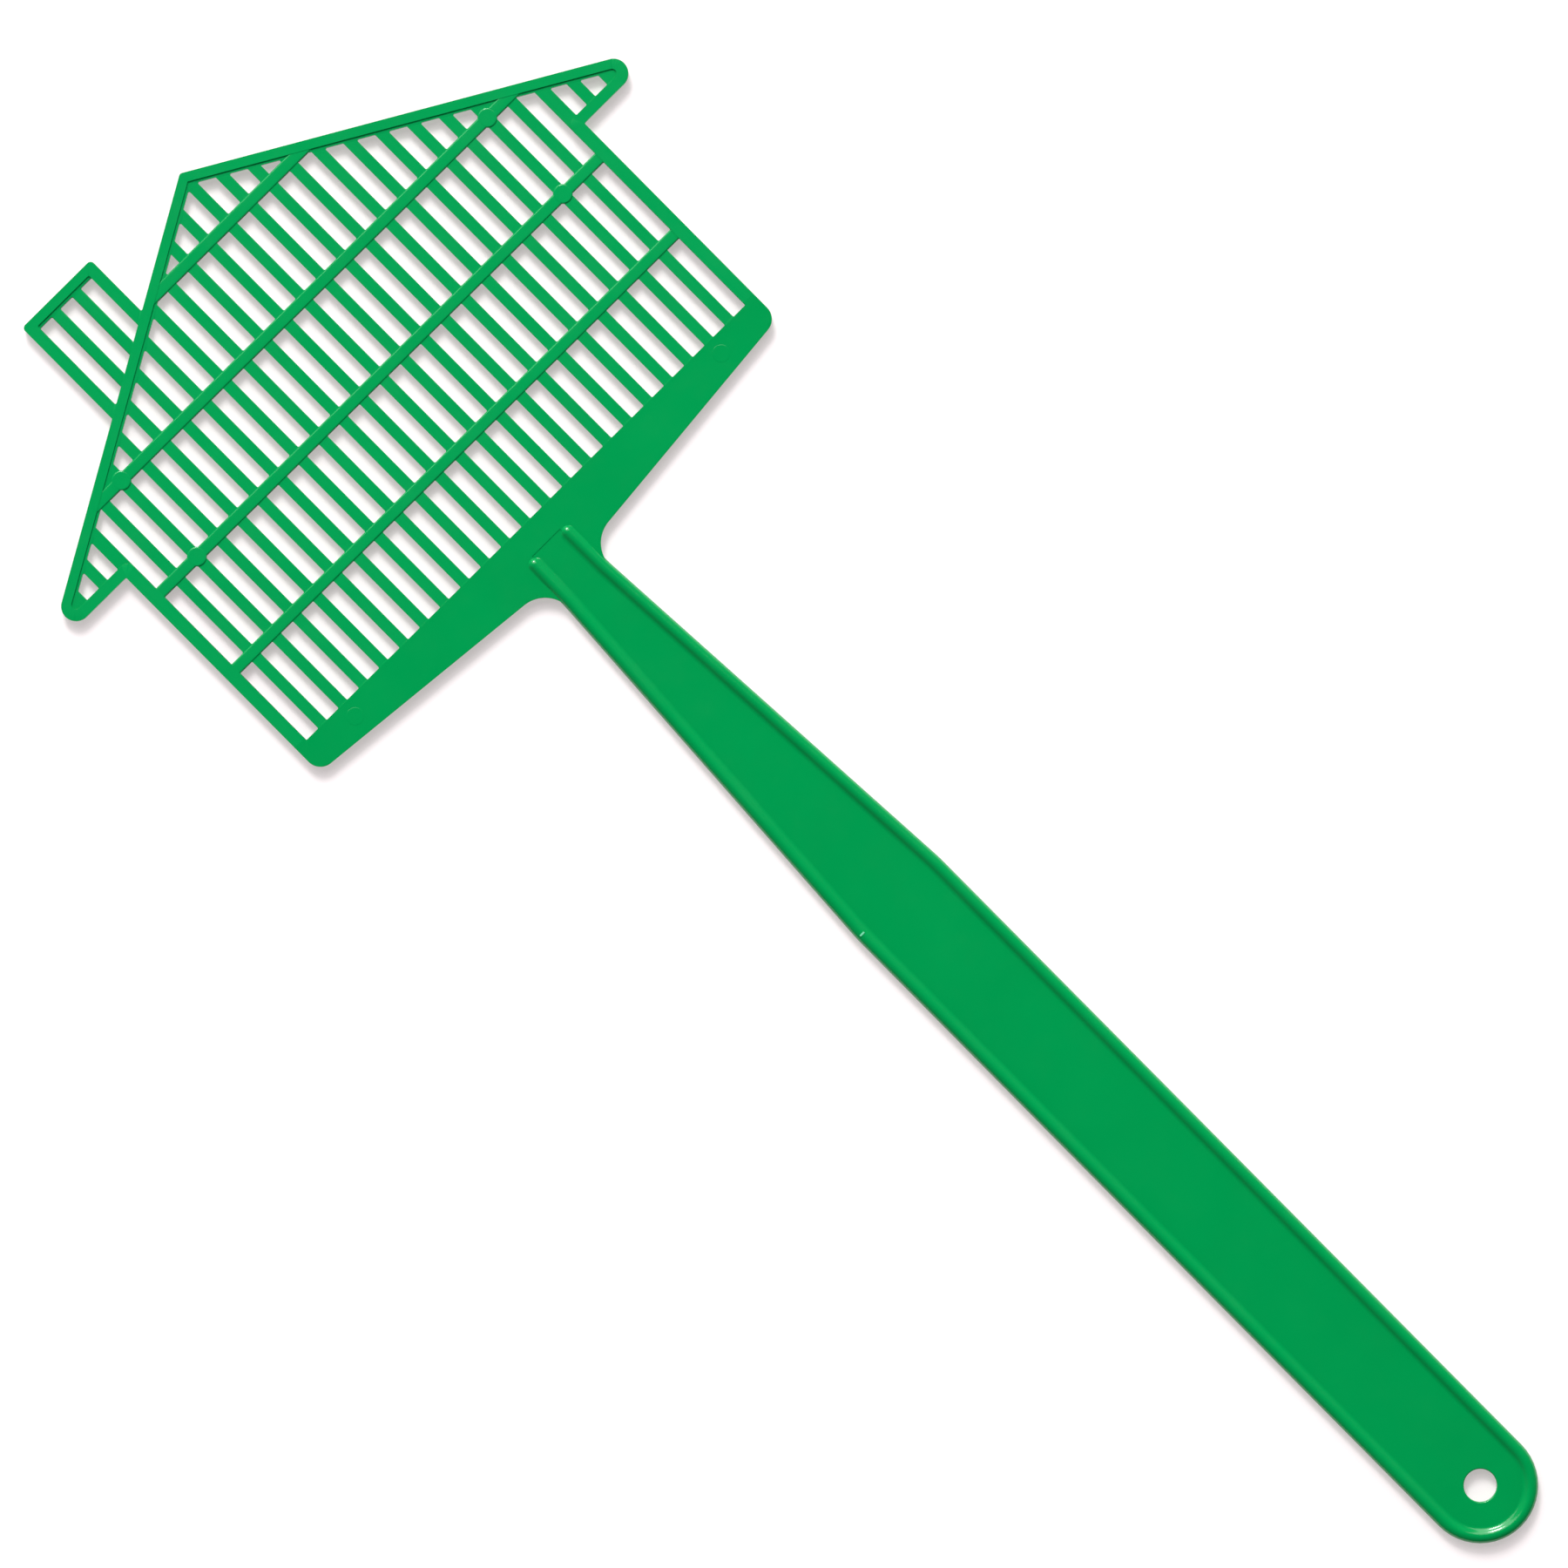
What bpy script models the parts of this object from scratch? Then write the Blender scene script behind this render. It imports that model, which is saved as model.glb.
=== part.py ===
"""House-shaped fly swatter, one moulding of green polypropylene, divided here into its members.

It lies with its ribbed face up: +Z is up, +Y runs from the hanging hole to the roof ridge, and the
chimney is at -X. The origin is on the resting plane, under the middle of the outline.

Lengths are in millimetres until MM makes them metres. The head and the handle are drawn on one sheet,
where a place is (x, down), and down is the distance from the ridge towards the hanging hole.
"""

import math

import bmesh
import bpy
from mathutils import Matrix, Vector

MM = 0.001

# Driving dimensions of the outline.
ROOF_PITCH = math.radians(29.85)
CHIMNEY_RISE = 0.3
GRIP_HALF_WIDTH = 12.7
GRIP_END_CENTRE = 403.4
KINK = 222.7
NECK = 126.1
NECK_HALF_WIDTH = 6.85
RAIL_TIP = 113.5
RAIL_TIP_X = 5.05

# The lattice stands on one grid: every upright is a whole or half number of pitches from the middle.
SLAT_PITCH = 6.25
SLAT_WIDTH = 2.6
SLATS_EACH_SIDE = 10
WALL_PITCHES = 11
EAVE_SLAT_PITCHES = 12
RIB_WIDTH = 2.7
RIB_CENTRES = (15.1, 38.6, 62.0, 85.4)

# Rims.
ROOF_RAIL_WIDTH = 2.8
WALL_RAIL_WIDTH = 3.0
EAVE_TOP = 51.9
EAVE_BOTTOM = 54.4
EAVE_TIP_RADIUS = 3.25
CHIMNEY_OUTER = -48.2
CHIMNEY_INNER = -27.1
CHIMNEY_RAIL_WIDTH = 2.7
CHIMNEY_CAP_DEPTH = 2.9
CHIMNEY_SLAT_PITCHES = (-6.5, -5.5)
CHIMNEY_CORNER_RADIUS = 1.0

# Collar between the lattice and the neck.
COLLAR_TOP = 107.3
COLLAR_SIDE_BOTTOM = 114.3
COLLAR_NECK_BOTTOM = 120.5
COLLAR_CORNER_RADIUS = 3.6
NECK_FILLET_RADIUS = 7.2

# Handle.
RAIL_RADIUS = 1.6
HANG_TAB_TOP = 388.0
HOLE_RADIUS = 3.75

# Levels above the resting plane. Everything is centred on the parting plane of the mould.
PARTING = RAIL_RADIUS
WEB_LEVELS = (0.8, 2.4)
RIM_LEVELS = (0.7, 2.5)
SLAT_LEVELS = (0.8, 1.9)
RIB_LEVELS = (0.8, 2.5)

# Clearances where the members meet.
GAP = 0.3
NECK_GAP = 0.8

ARC_STEPS = 8
HOLE_SIDES = 32
RAIL_RESOLUTION = 4
DOME_ANGLES = (80, 60, 40, 20, 0)
LOOP_STEPS = 18
CUTTER_MARGIN = 2.0

GREEN = "#009C52"
ROUGHNESS = 0.32

RIDGE_Y = (GRIP_END_CENTRE + GRIP_HALF_WIDTH - CHIMNEY_RISE) / 2
WALL_INNER = WALL_PITCHES * SLAT_PITCH - SLAT_WIDTH / 2
WALL_OUTER = WALL_INNER + WALL_RAIL_WIDTH
EAVE_SLOT_END = (EAVE_SLAT_PITCHES + 1) * SLAT_PITCH - SLAT_WIDTH / 2
GRIP_RAIL_X = GRIP_HALF_WIDTH - RAIL_RADIUS
NECK_RAIL_X = NECK_HALF_WIDTH - RAIL_RADIUS


def roof_outside(x):
    """How far down the outer line of the roof is at x."""
    return abs(x) * math.tan(ROOF_PITCH)


def roof_inside(x, clearance=0.0):
    """How far down the inner edge of the roof rails is at x, with a clearance square to the edge."""
    return roof_outside(x) + (ROOF_RAIL_WIDTH + clearance) / math.cos(ROOF_PITCH)


def under_roof(x):
    """How far down a member that runs up to a roof rail starts at x."""
    return roof_inside(x, GAP)


def on_collar(x):
    """How far down a member that runs down to the collar ends, which is the same at every x."""
    return COLLAR_TOP - GAP


def on_roof(x):
    """How far down a member that stands on the outside of the roof ends at x."""
    return roof_outside(x) - GAP / math.cos(ROOF_PITCH)


def rail_x(down):
    """Distance of a handle rail's centre line from the middle: near parallel, then spread, then parallel."""
    if down < NECK:
        return NECK_RAIL_X + (RAIL_TIP_X - NECK_RAIL_X) * (NECK - down) / (NECK - RAIL_TIP)
    return min(NECK_RAIL_X + (GRIP_RAIL_X - NECK_RAIL_X) * (down - NECK) / (KINK - NECK), GRIP_RAIL_X)


def on_sheet(x, down):
    """A place of the drawing as a vector in the model's frame, in millimetres, on the resting plane."""
    return Vector((x, RIDGE_Y - down, 0))


def linear(hex_colour):
    """The sRGB hex colour as linear red, green, blue and alpha."""
    parts = [int(hex_colour[start : start + 2], 16) / 255 for start in (1, 3, 5)]
    return [part / 12.92 if part <= 0.04045 else ((part + 0.055) / 1.055) ** 2.4 for part in parts] + [1.0]


def clear_scene():
    for obj in list(bpy.data.objects):
        bpy.data.objects.remove(obj)


def plastic(name):
    material = bpy.data.materials.new(f"{name}_polypropylene")
    material.use_nodes = True
    shader = material.node_tree.nodes["Principled BSDF"]
    shader.inputs["Base Color"].default_value = linear(GREEN)
    shader.inputs["Roughness"].default_value = ROUGHNESS
    shader.inputs["Metallic"].default_value = 0.0
    return material


def add_object(name, data, origin, body):
    """An object of this name whose data is drawn around origin; body is the empty that it moves with."""
    obj = bpy.data.objects.new(name, data)
    bpy.context.collection.objects.link(obj)
    obj.location = origin * MM
    if body:
        obj.parent = body
        obj.location -= body.location
    data.materials.append(plastic(name))
    return obj


def rounded(corners):
    """The outline through corners of (x, down, radius), each one with a radius turned into an arc."""
    outline = []
    for index, (x, down, radius) in enumerate(corners):
        corner = on_sheet(x, down)
        if not radius:
            outline.append(corner)
            continue
        before = (on_sheet(*corners[index - 1][:2]) - corner).normalized()
        after = (on_sheet(*corners[(index + 1) % len(corners)][:2]) - corner).normalized()
        half_angle = before.angle(after) / 2
        centre = corner + (before + after).normalized() * radius / math.sin(half_angle)
        first = corner + before * radius / math.tan(half_angle) - centre
        last = corner + after * radius / math.tan(half_angle) - centre
        sweep = first.xy.angle_signed(last.xy)
        for step in range(ARC_STEPS + 1):
            turn = Matrix.Rotation(-sweep * step / ARC_STEPS, 2)
            outline.append(centre + (turn @ first.xy).to_3d())
    return outline


def mirrored(corners, side):
    """The same corners on the right, side 1, or on the left, side -1."""
    return [(side * corner[0], *corner[1:]) for corner in corners]


def around_hole(radius, turn, steps):
    """Places of (x, down) on a circle round the hanging hole, over a turn from the right through the end."""
    angles = [turn * step / steps for step in range(steps + 1)]
    return [(radius * math.cos(angle), GRIP_END_CENTRE + radius * math.sin(angle)) for angle in angles]


def prism(name, outline, levels, body=None):
    """A flat member: its outline extruded between two levels, with the origin at its middle."""
    low, high = levels
    columns = [[point[axis] for point in outline] for axis in (0, 1)]
    origin = Vector([(min(column) + max(column)) / 2 for column in columns] + [(low + high) / 2])
    shape = bmesh.new()
    base = shape.faces.new([shape.verts.new((Vector((x, y, low)) - origin) * MM) for x, y, _ in outline])
    extruded = bmesh.ops.extrude_face_region(shape, geom=[base])["geom"]
    lifted = [item for item in extruded if isinstance(item, bmesh.types.BMVert)]
    bmesh.ops.translate(shape, verts=lifted, vec=(0, 0, (high - low) * MM))
    bmesh.ops.recalc_face_normals(shape, faces=shape.faces)
    mesh = bpy.data.meshes.new(name)
    shape.to_mesh(mesh)
    shape.free()
    return add_object(name, mesh, origin, body)


def bar(name, left, right, top, bottom, levels, body=None):
    """An upright member whose ends are given as functions of x, so that they can follow the roof."""
    edges = sorted({left, right} | ({0.0} if left < 0 < right else set()))
    outline = [on_sheet(x, top(x)) for x in edges] + [on_sheet(x, bottom(x)) for x in reversed(edges)]
    return prism(name, outline, levels, body)


def rod(name, route, body=None):
    """A round rail along a route of (x, down, radius)."""
    origin = on_sheet(*route[0][:2]) + Vector((0, 0, PARTING))
    curve = bpy.data.curves.new(name, "CURVE")
    curve.dimensions = "3D"
    curve.twist_mode = "Z_UP"
    curve.bevel_depth = RAIL_RADIUS * MM
    curve.bevel_resolution = RAIL_RESOLUTION
    curve.use_fill_caps = True
    spline = curve.splines.new("POLY")
    spline.points.add(len(route) - 1)
    for point, (x, down, radius) in zip(spline.points, route):
        place = on_sheet(x, down) + Vector((0, 0, PARTING)) - origin
        point.co = (*place * MM, 1)
        point.radius = radius / RAIL_RADIUS
    return add_object(name, curve, origin, body)


def cut(obj, cutter):
    """Takes the cutter's shape out of obj."""
    cutter.hide_render = True
    cutter.display_type = "WIRE"
    boolean = obj.modifiers.new(f"cut_{cutter.name}", "BOOLEAN")
    boolean.operation = "DIFFERENCE"
    boolean.solver = "EXACT"
    boolean.object = cutter


def joined(name, pieces):
    """One object made of the meshes of several, which are removed."""
    shape = bmesh.new()
    for piece in pieces:
        piece.data.transform(piece.matrix_basis)
        shape.from_mesh(piece.data)
        bpy.data.objects.remove(piece)
    mesh = bpy.data.meshes.new(name)
    shape.to_mesh(mesh)
    shape.free()
    return add_object(name, mesh, Vector(), None)


def make_roof(head):
    """Two sloped rims that meet at the ridge, each with the round, solid tip of its eave."""
    middle = GAP / 2
    corner_x = EAVE_BOTTOM / math.tan(ROOF_PITCH)
    for side, word in ((-1, "left"), (1, "right")):
        corners = [
            (middle, roof_outside(middle), 0),
            (corner_x, EAVE_BOTTOM, EAVE_TIP_RADIUS),
            (EAVE_SLOT_END, EAVE_BOTTOM, 0),
            (EAVE_SLOT_END, roof_inside(EAVE_SLOT_END), 0),
            (middle, roof_inside(middle), 0),
        ]
        prism(f"roof_rail_{word}", rounded(mirrored(corners, side)), RIM_LEVELS, head)


def make_eaves_and_walls(head):
    """The level rims under the eaves, the short slats above them, and the upright rims of the walls."""
    slat_middle = EAVE_SLAT_PITCHES * SLAT_PITCH
    for side, word in ((-1, "left"), (1, "right")):
        spans = {
            f"eave_rail_{word}": (WALL_OUTER + GAP, EAVE_SLOT_END - GAP),
            f"wall_rail_{word}": (WALL_INNER, WALL_OUTER),
            f"eave_slat_{word}": (slat_middle - SLAT_WIDTH / 2, slat_middle + SLAT_WIDTH / 2),
        }
        ends = {
            f"eave_rail_{word}": (lambda x: EAVE_TOP, lambda x: EAVE_BOTTOM, RIM_LEVELS),
            f"wall_rail_{word}": (under_roof, on_collar, RIM_LEVELS),
            f"eave_slat_{word}": (under_roof, lambda x: EAVE_TOP - GAP, SLAT_LEVELS),
        }
        for name, span in spans.items():
            left, right = sorted(side * x for x in span)
            top, bottom, levels = ends[name]
            bar(name, left, right, top, bottom, levels, head)


def make_chimney(head):
    """A rim of two rails and a cap on the left slope of the roof, with two slats inside."""
    cap_bottom = CHIMNEY_CAP_DEPTH - CHIMNEY_RISE
    cap = [
        (CHIMNEY_OUTER, -CHIMNEY_RISE, CHIMNEY_CORNER_RADIUS),
        (CHIMNEY_INNER, -CHIMNEY_RISE, CHIMNEY_CORNER_RADIUS),
        (CHIMNEY_INNER, cap_bottom, 0),
        (CHIMNEY_OUTER, cap_bottom, 0),
    ]
    prism("chimney_cap", rounded(cap), RIM_LEVELS, head)
    uprights = [
        ("chimney_rail_outer", CHIMNEY_OUTER, CHIMNEY_RAIL_WIDTH, RIM_LEVELS),
        ("chimney_rail_inner", CHIMNEY_INNER - CHIMNEY_RAIL_WIDTH, CHIMNEY_RAIL_WIDTH, RIM_LEVELS),
    ]
    for number, pitches in enumerate(CHIMNEY_SLAT_PITCHES, start=1):
        left = pitches * SLAT_PITCH - SLAT_WIDTH / 2
        uprights.append((f"chimney_slat_{number}", left, SLAT_WIDTH, SLAT_LEVELS))
    for name, left, width, levels in uprights:
        bar(name, left, left + width, lambda x: cap_bottom + GAP, on_roof, levels, head)


def make_slats(head):
    """Upright slats between the walls, numbered from the chimney side."""
    for number, place in enumerate(range(-SLATS_EACH_SIDE, SLATS_EACH_SIDE + 1), start=1):
        left = place * SLAT_PITCH - SLAT_WIDTH / 2
        right = left + SLAT_WIDTH
        bar(f"slat_{number:02d}", left, right, under_roof, on_collar, SLAT_LEVELS, head)


def make_cross_ribs(head):
    """Ribs from rim to rim, as deep as the slats between them and notched where they run over one."""
    notches = []
    for place in range(-SLATS_EACH_SIDE, SLATS_EACH_SIDE + 1):
        middle = place * SLAT_PITCH
        half = SLAT_WIDTH / 2 + GAP
        levels = (RIB_LEVELS[0] - CUTTER_MARGIN, SLAT_LEVELS[1] + GAP)
        notches.append(bar("notch", middle - half, middle + half, roof_outside, on_collar, levels))
    slat_notches = joined("slat_notches", notches)
    for number, middle in enumerate(RIB_CENTRES, start=1):
        right = []
        for down in (middle - RIB_WIDTH / 2, middle + RIB_WIDTH / 2):
            roof_reach = (down - roof_inside(0, GAP)) / math.tan(ROOF_PITCH)
            right.append((min(roof_reach, WALL_INNER - GAP), down, 0))
        outline = rounded(right + mirrored(reversed(right), -1))
        cut(prism(f"cross_rib_{number}", outline, RIB_LEVELS, head), slat_notches)


def rail_band(side, start, stop, half_width):
    """The outline of a band of this half width along a handle rail."""
    inner = [(side * (rail_x(down) - half_width), down, 0) for down in (start, stop)]
    outer = [(side * (rail_x(down) + half_width), down, 0) for down in (stop, start)]
    return rounded(inner + outer)


def make_collar(head):
    """A flat gusset with round corners that narrows to the neck, notched for the ends of the rails."""
    neck_end = NECK - NECK_GAP / 2
    half = [
        (WALL_OUTER, COLLAR_TOP, 0),
        (WALL_OUTER, COLLAR_SIDE_BOTTOM, COLLAR_CORNER_RADIUS),
        (rail_x(COLLAR_NECK_BOTTOM) + RAIL_RADIUS, COLLAR_NECK_BOTTOM, NECK_FILLET_RADIUS),
        (rail_x(neck_end) + RAIL_RADIUS, neck_end, 0),
    ]
    corners = half + mirrored(reversed(half), -1)
    collar = prism("collar", rounded(corners), RIM_LEVELS, head)
    levels = (-CUTTER_MARGIN, 2 * RAIL_RADIUS + CUTTER_MARGIN)
    notches = [
        prism("notch", rail_band(side, RAIL_TIP - GAP, NECK + CUTTER_MARGIN, RAIL_RADIUS + GAP), levels)
        for side in (-1, 1)
    ]
    cut(collar, joined("rail_notches", notches))


def make_rails(head):
    """The round rails of the handle, from their domed ends on the collar to the loop at the hanging hole."""
    rod("end_loop", [(*place, RAIL_RADIUS) for place in around_hole(GRIP_RAIL_X, math.pi, LOOP_STEPS)])
    for side, word in ((-1, "left"), (1, "right")):
        dome = []
        for degrees in DOME_ANGLES:
            angle = math.radians(degrees)
            down = RAIL_TIP + RAIL_RADIUS * (1 - math.sin(angle))
            dome.append((side * rail_x(down), down, RAIL_RADIUS * math.cos(angle)))
        neck_end = NECK - NECK_GAP / 2
        rod(f"rail_end_{word}", dome + [(side * rail_x(neck_end), neck_end, RAIL_RADIUS)], head)
        spans = {
            f"neck_rail_{word}": (NECK + NECK_GAP / 2, KINK - GAP / 2),
            f"grip_rail_{word}": (KINK + GAP / 2, GRIP_END_CENTRE - GAP),
        }
        for name, ends in spans.items():
            rod(name, [(side * rail_x(down), down, RAIL_RADIUS) for down in ends])


def make_webs():
    """The thin sheet between the rails, in a tapered, a straight and a round-ended length."""
    inset = RAIL_RADIUS + GAP

    def band(top, bottom):
        right = [(rail_x(down) - inset, down, 0) for down in (top, bottom)]
        return right + mirrored(reversed(right), -1)

    prism("neck_web", rounded(band(NECK + NECK_GAP / 2, KINK - GAP / 2)), WEB_LEVELS)
    prism("grip_web", rounded(band(KINK + GAP / 2, HANG_TAB_TOP - GAP)), WEB_LEVELS)
    half_width = GRIP_RAIL_X - inset
    end = [(-half_width, HANG_TAB_TOP), (half_width, HANG_TAB_TOP)]
    end += around_hole(half_width, math.pi, LOOP_STEPS)
    tab = prism("hang_tab", [on_sheet(*place) for place in end], WEB_LEVELS)
    circle = around_hole(HOLE_RADIUS, 2 * math.pi, HOLE_SIDES)[:-1]
    levels = (WEB_LEVELS[0] - CUTTER_MARGIN, WEB_LEVELS[1] + CUTTER_MARGIN)
    cut(tab, prism("hanging_hole", [on_sheet(*place) for place in circle], levels))


def main():
    clear_scene()
    head = bpy.data.objects.new("neck_flex_axis", None)
    bpy.context.collection.objects.link(head)
    head.location = (on_sheet(0, NECK) + Vector((0, 0, PARTING))) * MM
    make_roof(head)
    make_eaves_and_walls(head)
    make_chimney(head)
    make_slats(head)
    make_cross_ribs(head)
    make_collar(head)
    make_rails(head)
    make_webs()


main()
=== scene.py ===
"""Looks of a house-shaped fly swatter moulded in one shot of green plastic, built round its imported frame.

Shapes are drawn in millimetres, in the frame's own axes: X across the head, Y from the handle's end to the
ridge of the roof, Z up from the table. The last step of each piece turns millimetres into metres.
"""

import math
from types import SimpleNamespace

import bmesh
import bpy
from mathutils import Matrix, Vector


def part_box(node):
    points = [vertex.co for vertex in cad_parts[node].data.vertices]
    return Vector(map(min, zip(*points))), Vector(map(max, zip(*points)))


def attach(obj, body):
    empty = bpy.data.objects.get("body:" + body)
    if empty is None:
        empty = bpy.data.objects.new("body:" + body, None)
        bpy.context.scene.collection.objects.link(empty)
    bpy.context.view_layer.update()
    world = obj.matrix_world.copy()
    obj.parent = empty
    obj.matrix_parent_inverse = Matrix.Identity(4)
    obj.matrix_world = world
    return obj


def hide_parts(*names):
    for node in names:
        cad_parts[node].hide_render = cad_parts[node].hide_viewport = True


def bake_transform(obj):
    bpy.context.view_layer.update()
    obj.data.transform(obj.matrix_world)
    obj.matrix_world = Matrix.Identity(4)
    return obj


bl_info = {
    "name": "House-shaped fly swatter",
    "version": (1, 0, 0),
    "blender": (4, 5, 0),
    "location": "3D View > Sidebar > Swatter",
    "description": "Makes the visible pieces of a moulded fly swatter round its packed frame",
    "category": "Object",
}

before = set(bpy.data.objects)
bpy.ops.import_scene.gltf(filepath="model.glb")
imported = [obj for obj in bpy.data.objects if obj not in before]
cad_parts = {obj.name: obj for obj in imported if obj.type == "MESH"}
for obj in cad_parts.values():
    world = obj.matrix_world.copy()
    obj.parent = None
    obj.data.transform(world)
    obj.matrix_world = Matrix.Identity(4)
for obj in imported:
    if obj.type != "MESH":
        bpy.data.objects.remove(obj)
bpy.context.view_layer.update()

MM = 0.001
SIDES = {-1: "left", 1: "right"}


def low(node):
    """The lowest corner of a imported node, in millimetres."""
    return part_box(node)[0] / MM


def high(node):
    """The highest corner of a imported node, in millimetres."""
    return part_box(node)[1] / MM


SLAT_COUNT = 21
MIDDLE_SLAT = 11
CROSS_RIBS = [f"cross_rib_{number}" for number in range(1, 5)]
SLATS = [f"slat_{number:02d}" for number in range(1, SLAT_COUNT + 1)]

# Places read from the frame. GAP is the cut between two of the frame's members, which the moulding lacks.
GAP = 2 * low("roof_rail_right").x
SLAT_PITCH = low("slat_12").x - low("slat_11").x
ROOF_SLOPE = (high("slat_12").y - high("slat_21").y) / (low("slat_21").x - low("slat_12").x)
ROOF_PITCH = math.atan(ROOF_SLOPE)
RIDGE = high("roof_rail_right").y + GAP / 2 * ROOF_SLOPE
ROOF_DEPTH = (RIDGE - high("slat_12").y - low("slat_12").x * ROOF_SLOPE) * math.cos(ROOF_PITCH) - GAP
WALL_INNER = low("wall_rail_right").x
WALL_OUTER = high("wall_rail_right").x
WALL_MIDDLE = (WALL_INNER + WALL_OUTER) / 2
EAVE_TOP = high("eave_rail_right").y
EAVE_BOTTOM = low("eave_rail_right").y
EAVE_SLOT_END = high("eave_rail_right").x + GAP
COLLAR_TOP = high("collar").y
CHIMNEY_OUTER = low("chimney_rail_outer").x
CHIMNEY_INNER = high("chimney_rail_inner").x
CHIMNEY_RAIL = high("chimney_rail_outer").x - CHIMNEY_OUTER
CAP_TOP = high("chimney_cap").y
CAP_BOTTOM = low("chimney_cap").y

RAIL_RADIUS = (high("end_loop").z - low("end_loop").z) / 2
RAIL_HEIGHT = low("end_loop").z + RAIL_RADIUS
RAIL_TIP = high("rail_end_right").y
RAIL_TIP_X = low("rail_end_right").x + RAIL_RADIUS
NECK_RAIL_X = high("rail_end_right").x - RAIL_RADIUS
GRIP_RAIL_X = high("grip_rail_right").x - RAIL_RADIUS
NECK = (low("collar").y + high("neck_web").y) / 2
KINK = (low("neck_rail_right").y + high("grip_rail_right").y) / 2
LOOP_CENTRE = Vector((0, high("end_loop").y))
TAB_TOP = (low("grip_web").y + high("hang_tab").y) / 2
HOLE_RADIUS = min(
    (vertex.co.xy / MM - LOOP_CENTRE).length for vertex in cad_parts["hang_tab"].data.vertices
)

# Levels of the frame's members, from the underside to the top face.
RIM_LEVELS = (low("collar").z, high("collar").z)
WEB_LEVELS = (low("neck_web").z, high("neck_web").z)

# The neck bends between these two places, the upper one a little below the slats.
BELOW_SLATS = 1.7
BEND_END = COLLAR_TOP - BELOW_SLATS
BEND_START = 2 * NECK - BEND_END
BEND_LINE_PITCH = 1.5

# How far a member reaches into the one it grows out of, where the overlap is hidden.
ROOT = 1.2
# How far inside a rail's centre line the web's edge lies, hidden in the rail.
WEB_INSET = RAIL_RADIUS / 3
# How far the collar reaches down past the neck, between the rails.
COLLAR_TAIL = 1.0
# How far from a corner a member is cut from its neighbour, so that the cut crosses a straight stretch.
CLEAR_OF_CORNER = 0.6
# Where the handle's members are cut from each other, again clear of the bends.
NECK_CUT = NECK + 2.5
KINK_CUT = KINK - 4.0
LOOP_CUT = LOOP_CENTRE.y + 3.0
# The fillet between a rail's outer side and the collar grows from nothing over this length above the cut.
FILLET_GROWTH = 4.5

# A slot of less area than this, in square millimetres, is filled.
SMALLEST_SLOT = 1.2
# The radius of a slot's corners is at most this share of its shortest side.
CORNER_SHARE = 0.2

# The marks of the ejector pins: how many slats they are from the middle, how far the lower ones are below
# the slats, how far their hidden feet are above the ribs' undersides, and their edge as (inward from the
# radius, up from the face around the mark).
MARK_COLUMN = 9
LOWER_MARK_DROP = 3.8
MARK_FOOT = 0.02
MARK_RISE = 0.012
MARK_EDGE = [(0, -0.2), (0.06, -0.07), (0.2, 0), (0.3, MARK_RISE), (0.45, MARK_RISE)]

# The nub of the gate: how deep it is rooted in the rail, and how far it stands out of it, which is also
# how much its edges are rounded.
NUB_ROOT = 0.5
NUB_RISE = 0.04

# How finely shapes are drawn: how far an arc's chord may stray from the arc, and counts and sizes of steps.
ARC_ERROR = 0.006
EDGE_SEGMENTS = 3
TURN_STEPS = 48
HOLE_STEPS = 64
FILLET_STEPS = 5
CROWN_STEPS = 8
STATION_PITCH = 2.0
RAIL_ARC_STEP = math.radians(7.5)
DOME_ANGLES = [math.radians(degrees) for degrees in (86, 78, 70, 60, 50, 40, 30, 20, 10, 0)]
SMOOTH_UNDER = math.radians(40)
# Points closer than this are one point, and heights smaller than this are none.
WELD = 1e-4
NO_HEIGHT = 1e-6

# Sockets of a Mix node that mixes colours.
MIX_FIRST, MIX_SECOND, MIX_RESULT = 6, 7, 2

# The stage, in metres.
TABLE_REACH = 4.0
LIT_PLACE = Vector((0, -0.03, 0))
VIEW_WIDTH = 0.3424
VIEW_MIDDLE = Vector((-0.00015, 0.02041, RAIL_HEIGHT * MM))
VIEW_TURN = math.radians(-44.75)


def linear(hex_colour):
    """The sRGB hex colour as linear red, green and blue."""
    parts = [int(hex_colour[start : start + 2], 16) / 255 for start in (1, 3, 5)]
    return [part / 12.92 if part <= 0.04045 else ((part + 0.055) / 1.055) ** 2.4 for part in parts]


def length_property(name, description, millimetres):
    """A length of the moulding that a user can change."""
    return bpy.props.FloatProperty(
        name=name,
        description=description,
        default=millimetres * MM,
        min=0.0,
        precision=5,
        unit="LENGTH",
    )


def colour_property(name, description, hex_colour):
    """A colour of the moulding that a user can change."""
    return bpy.props.FloatVectorProperty(
        name=name,
        description=description,
        default=linear(hex_colour),
        min=0.0,
        max=1.0,
        subtype="COLOR",
    )


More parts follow.
